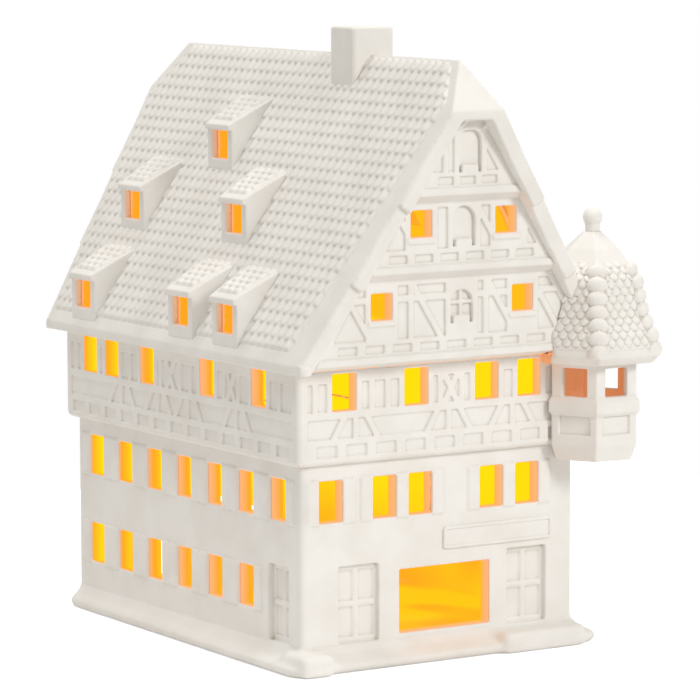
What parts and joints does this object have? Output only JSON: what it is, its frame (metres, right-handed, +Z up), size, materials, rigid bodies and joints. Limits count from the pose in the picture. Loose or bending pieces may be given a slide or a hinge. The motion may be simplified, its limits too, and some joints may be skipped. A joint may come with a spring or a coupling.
{
  "type": "porcelain village light house",
  "caption": "Half-timbered bisque porcelain town house with a tiled half-hipped roof, dormers and a corner turret, lit from inside by a battery tealight put in through the back.",
  "frame": {"origin": "on the underside of the base, below the middle of the walls' plan", "axes": "+Z up, -Y towards the front gable, +X towards the turret's side"},
  "size_m": [0.1151, 0.1586, 0.1652],
  "materials": {
    "bisque": "matt, unglazed",
    "light_plastic": "moulded, satin",
    "flame_plastic": "translucent, frosted",
    "cell_steel": "plain",
    "spring_steel": "nickel plated",
    "board_laminate": "solder mask",
    "lamp_epoxy": "clear, tinted",
    "switch_plastic": "moulded, matt"
  },
  "bodies": {
    "house": {"base": "bisque", "lower_front_wall": "bisque", "lower_left_wall": "bisque", "lower_right_wall": "bisque", "lower_rear_wall": "bisque", "upper_front_wall": "bisque", "upper_left_wall": "bisque", "upper_right_wall": "bisque", "upper_rear_wall": "bisque", "front_gable": "bisque", "rear_gable": "bisque", "left_roof": "bisque", "right_roof": "bisque", "front_hip": "bisque", "rear_hip": "bisque", "chimney": "bisque", "left_dormer_1": "bisque", "left_dormer_2": "bisque", "left_dormer_3": "bisque", "left_dormer_4": "bisque", "left_dormer_5": "bisque", "left_dormer_6": "bisque", "right_dormer_1": "bisque", "right_dormer_2": "bisque", "right_dormer_3": "bisque", "right_dormer_4": "bisque", "right_dormer_5": "bisque", "right_dormer_6": "bisque", "turret_bay": "bisque", "turret_roof": "bisque", "turret_finial": "bisque"},
    "light": {"light_housing": "light_plastic", "light_flame": "flame_plastic", "light_base": "light_plastic", "coin_cell": "cell_steel", "battery_contact": "spring_steel", "circuit_board": "board_laminate", "led_lamp": "lamp_epoxy"},
    "battery_cover": {"battery_cover": "light_plastic"},
    "switch": {"switch_slider": "switch_plastic"}
  },
  "joints": [
    {"name": "light_slide", "type": "slide", "parent": "house", "child": "light", "axis": [0, 1, 0], "range_m": [0, 0.07]},
    {"name": "battery_cover_turn", "type": "hinge", "parent": "light", "child": "battery_cover", "pos_m": [-0.0042, 0.0365, 0.00805], "axis": [0, 0, 1], "range_deg": [0, 30]},
    {"name": "switch_slide", "type": "slide", "parent": "light", "child": "switch", "axis": [0, 1, 0], "range_m": [0, 0.0028]}
  ]
}
